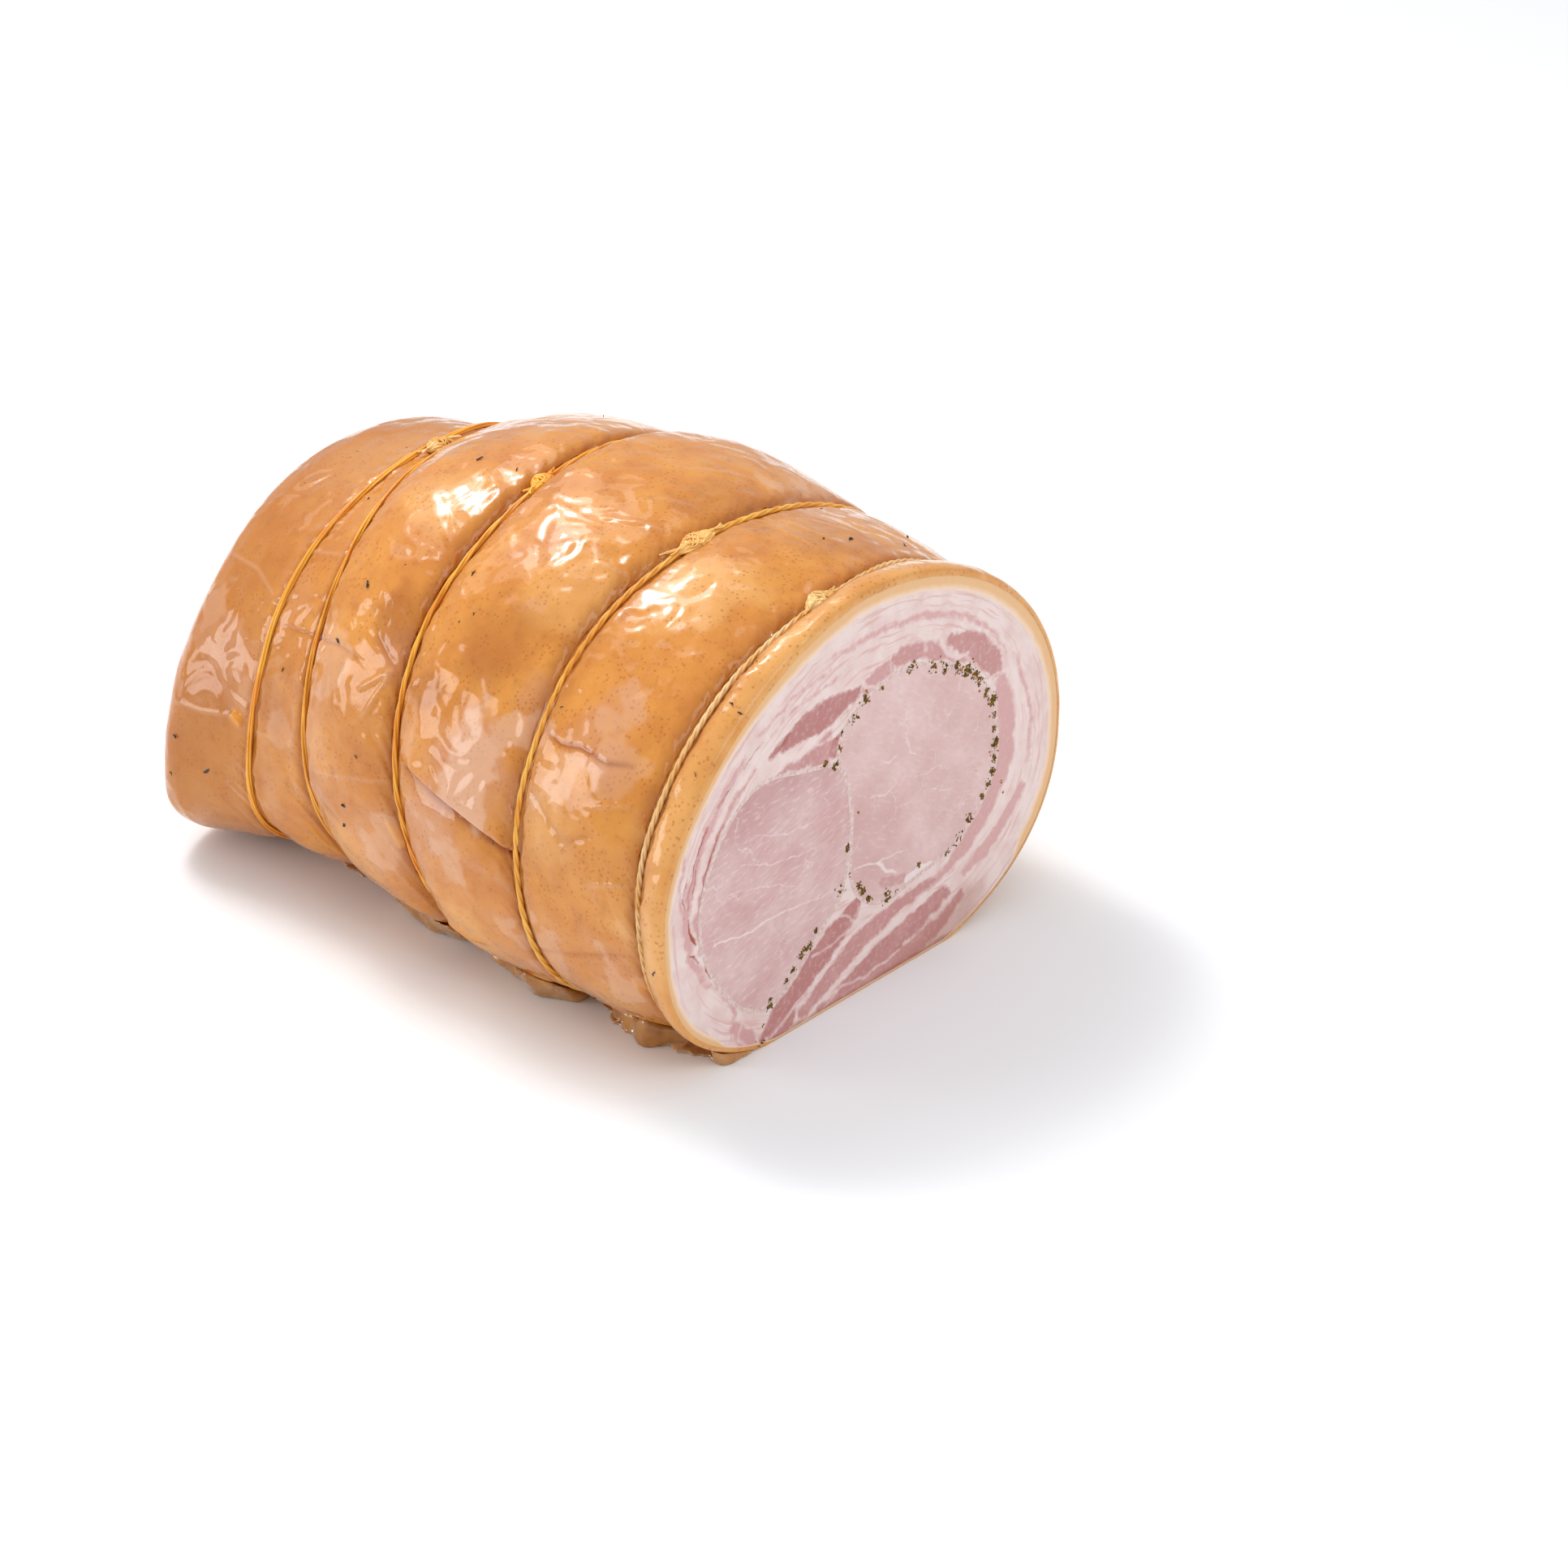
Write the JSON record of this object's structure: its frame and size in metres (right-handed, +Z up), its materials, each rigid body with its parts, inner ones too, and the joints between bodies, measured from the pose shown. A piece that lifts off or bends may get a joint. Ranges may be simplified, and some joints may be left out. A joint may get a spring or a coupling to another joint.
{
  "type": "porchetta",
  "caption": "Half of a boned, rolled and tied pork roast with glazed rind, cut across to show the loin, the belly layers and the herb filling.",
  "frame": {"origin": "on the floor under the middle of the part's bounding box", "axes": "+X along the roll towards the cut face, +Y towards the far side, +Z up"},
  "size_m": [0.244, 0.1986, 0.1511],
  "materials": {
    "rind": "glazed cooked rind, stands in for food",
    "lean": "moist cooked lean, stands in for food",
    "herbs": "rough chopped herbs, stands in for food",
    "twine": "cotton twine soaked with juices",
    "jelly": "set cooking jelly, stands in for food"
  },
  "bodies": {
    "root": {"belly_wrap": "rind", "loin_eye": "lean", "loin_lower": "lean", "herb_seam": "herbs", "tie_1": "twine", "tie_2": "twine", "tie_3": "twine", "tie_4": "twine", "jelly_1": "jelly", "jelly_2": "jelly", "jelly_3": "jelly", "jelly_4": "jelly", "jelly_5": "jelly", "jelly_6": "jelly"}
  },
  "joints": []
}
